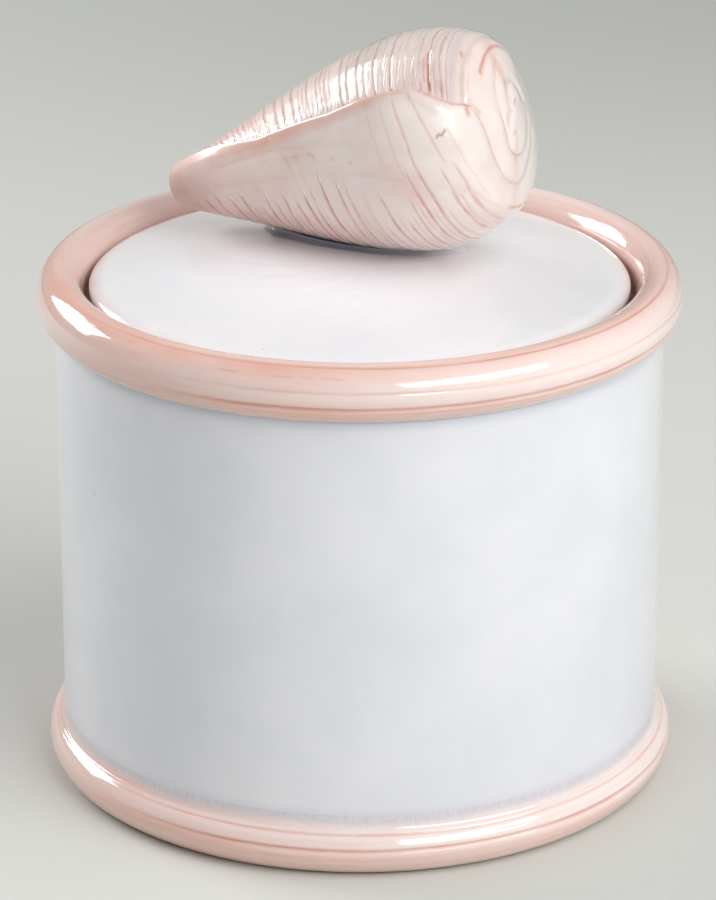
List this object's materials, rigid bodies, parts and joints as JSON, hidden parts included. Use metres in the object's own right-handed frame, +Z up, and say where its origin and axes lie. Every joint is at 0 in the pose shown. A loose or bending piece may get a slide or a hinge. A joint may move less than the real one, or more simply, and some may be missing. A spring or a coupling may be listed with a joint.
{
  "type": "lidded ceramic jar",
  "caption": "Round glazed ceramic jar with moulded rolls at rim and foot, and an inset lift-off lid whose handle is a coiled sea shell on a small slip bed.",
  "frame": {"origin": "centre of the jar's foot, on the plane that it stands on", "axes": "+Z up along the jar's axis, +X to the right and -Y towards the viewer of the picture, who faces the shell's lip"},
  "size_m": [0.165, 0.165, 0.1949],
  "materials": {
    "white_glaze": "smooth cool white gloss glaze",
    "rim_glaze": "pale pink wash, brushed on, under clear gloss glaze",
    "foot_glaze": "pale pink wash, brushed on, under clear gloss glaze",
    "lid_glaze": "warm white gloss glaze with a few fine specks",
    "bed_glaze": "thick cool white gloss glaze",
    "shell_glaze": "pinkish stain held in the grooves, under clear gloss glaze"
  },
  "bodies": {
    "jar": {"jar_floor": "white_glaze", "foot_roll": "foot_glaze", "jar_wall": "white_glaze", "rim_roll": "rim_glaze", "lid_ledge": "white_glaze"},
    "lid": {"lid_disc": "lid_glaze", "lid_flange": "lid_glaze", "finial_bed": "bed_glaze", "shell_finial": "shell_glaze"}
  },
  "joints": [
    {"name": "lid_lift", "type": "slide", "parent": "jar", "child": "lid", "axis": [0, 0, 1], "range_m": [0, 0.08]}
  ]
}
